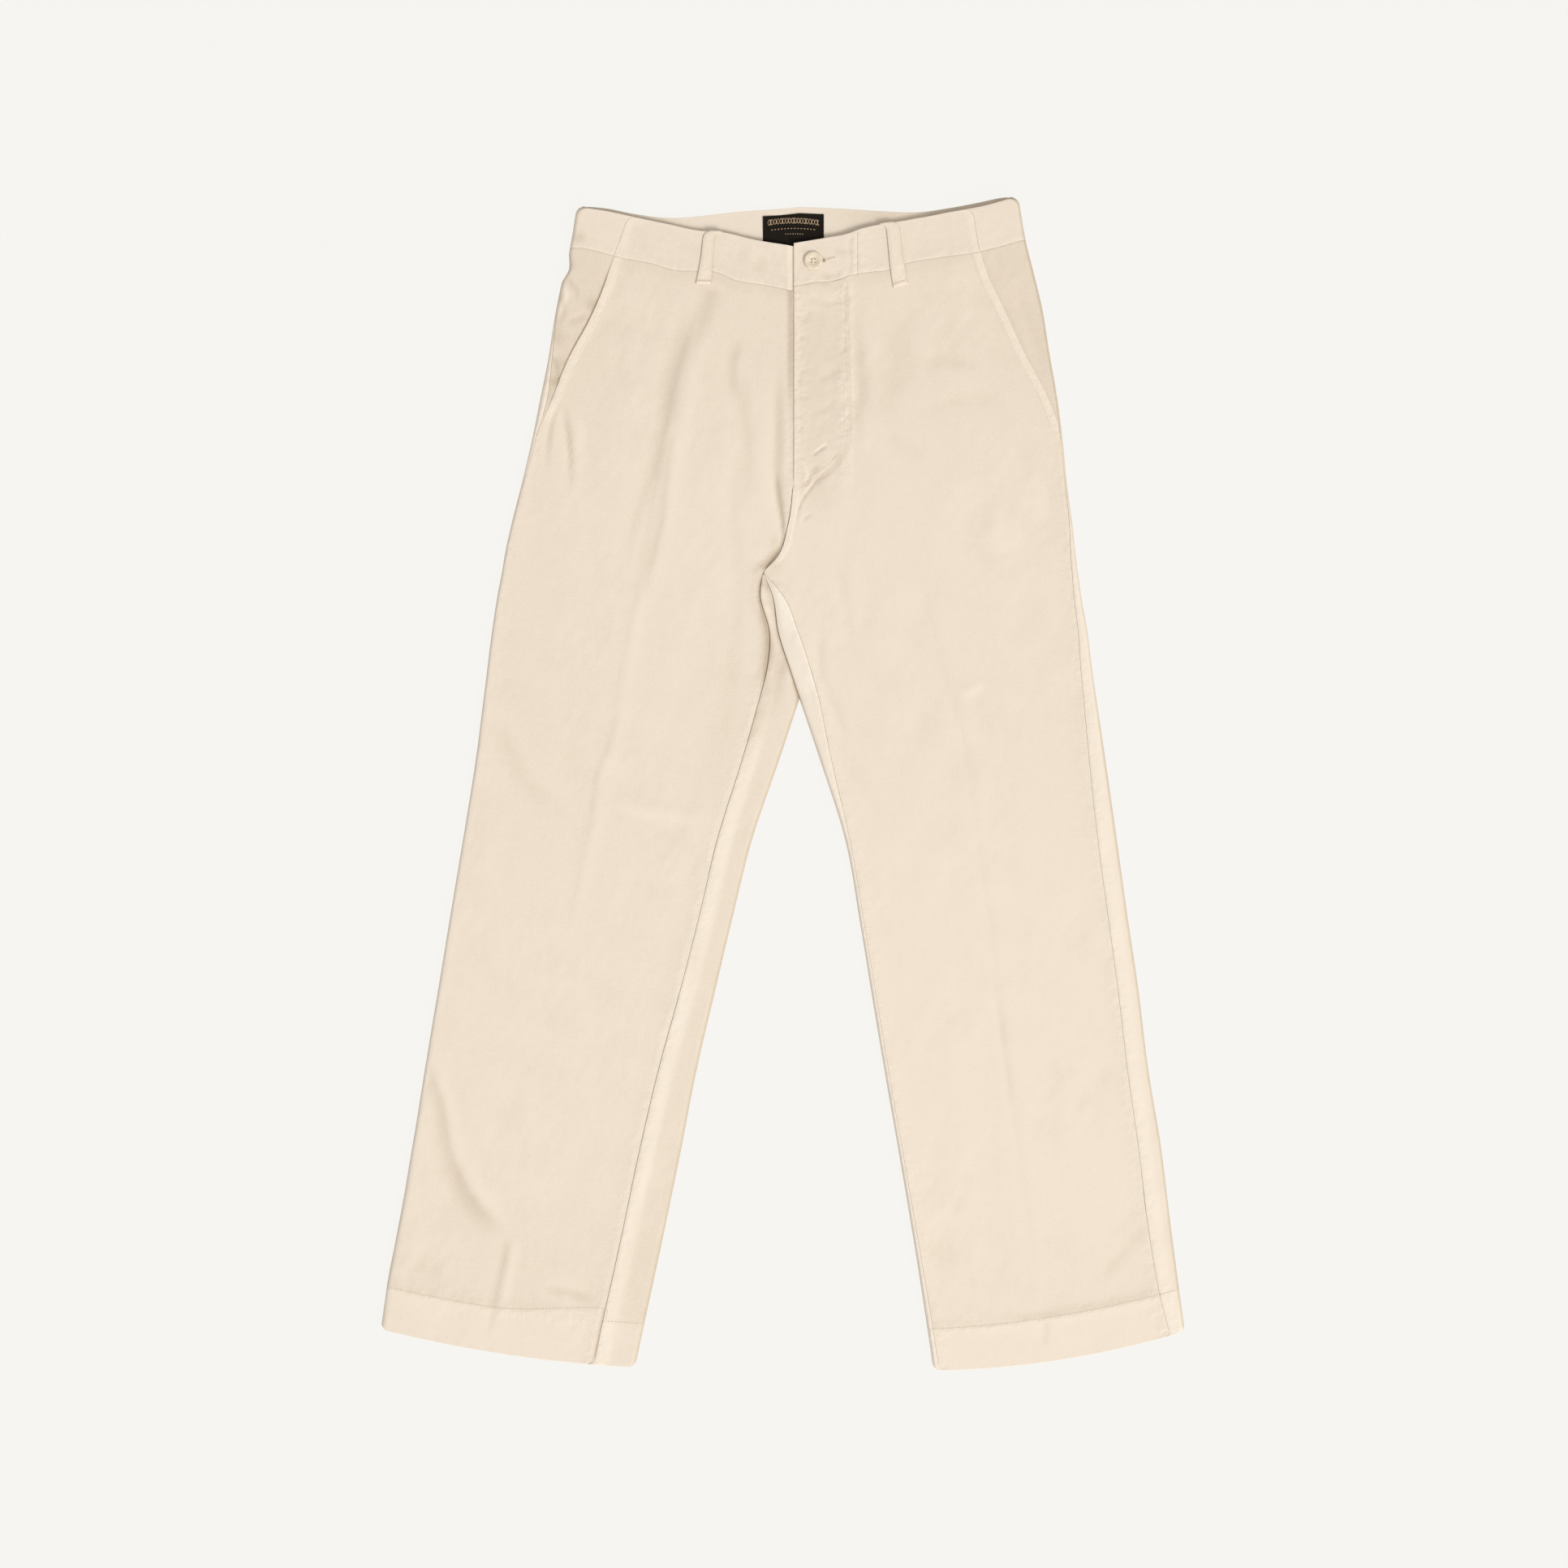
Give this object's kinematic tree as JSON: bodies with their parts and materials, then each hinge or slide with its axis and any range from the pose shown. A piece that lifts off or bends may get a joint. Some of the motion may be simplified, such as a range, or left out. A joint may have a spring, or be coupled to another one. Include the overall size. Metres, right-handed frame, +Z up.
{
  "type": "twill trousers",
  "caption": "Straight-leg cotton twill trousers laid flat and face up, with slanted pockets, a buttoned waistband and belt loops.",
  "frame": {"origin": "middle of the outline seen from above, on the surface the trousers lie on", "axes": "+X to the wearer's left as the trousers lie, +Y towards the waist, +Z up from the surface"},
  "size_m": [0.743, 1.082, 0.0142],
  "materials": {
    "twill": "washed cream cotton twill",
    "label_cloth": "woven black label",
    "button_resin": "cream resin"
  },
  "bodies": {
    "root": {"front_right": "twill", "front_left": "twill", "back_right": "twill", "back_left": "twill", "pocket_facing_right": "twill", "pocket_facing_left": "twill", "waistband_front_right": "twill", "waistband_front_left": "twill", "waistband_tab": "twill", "waistband_back": "twill", "belt_loop_front_right": "twill", "belt_loop_front_left": "twill", "belt_loop_back_right": "twill", "belt_loop_back_left": "twill", "belt_loop_centre_back": "twill", "label": "label_cloth", "waist_button": "button_resin"}
  },
  "joints": []
}
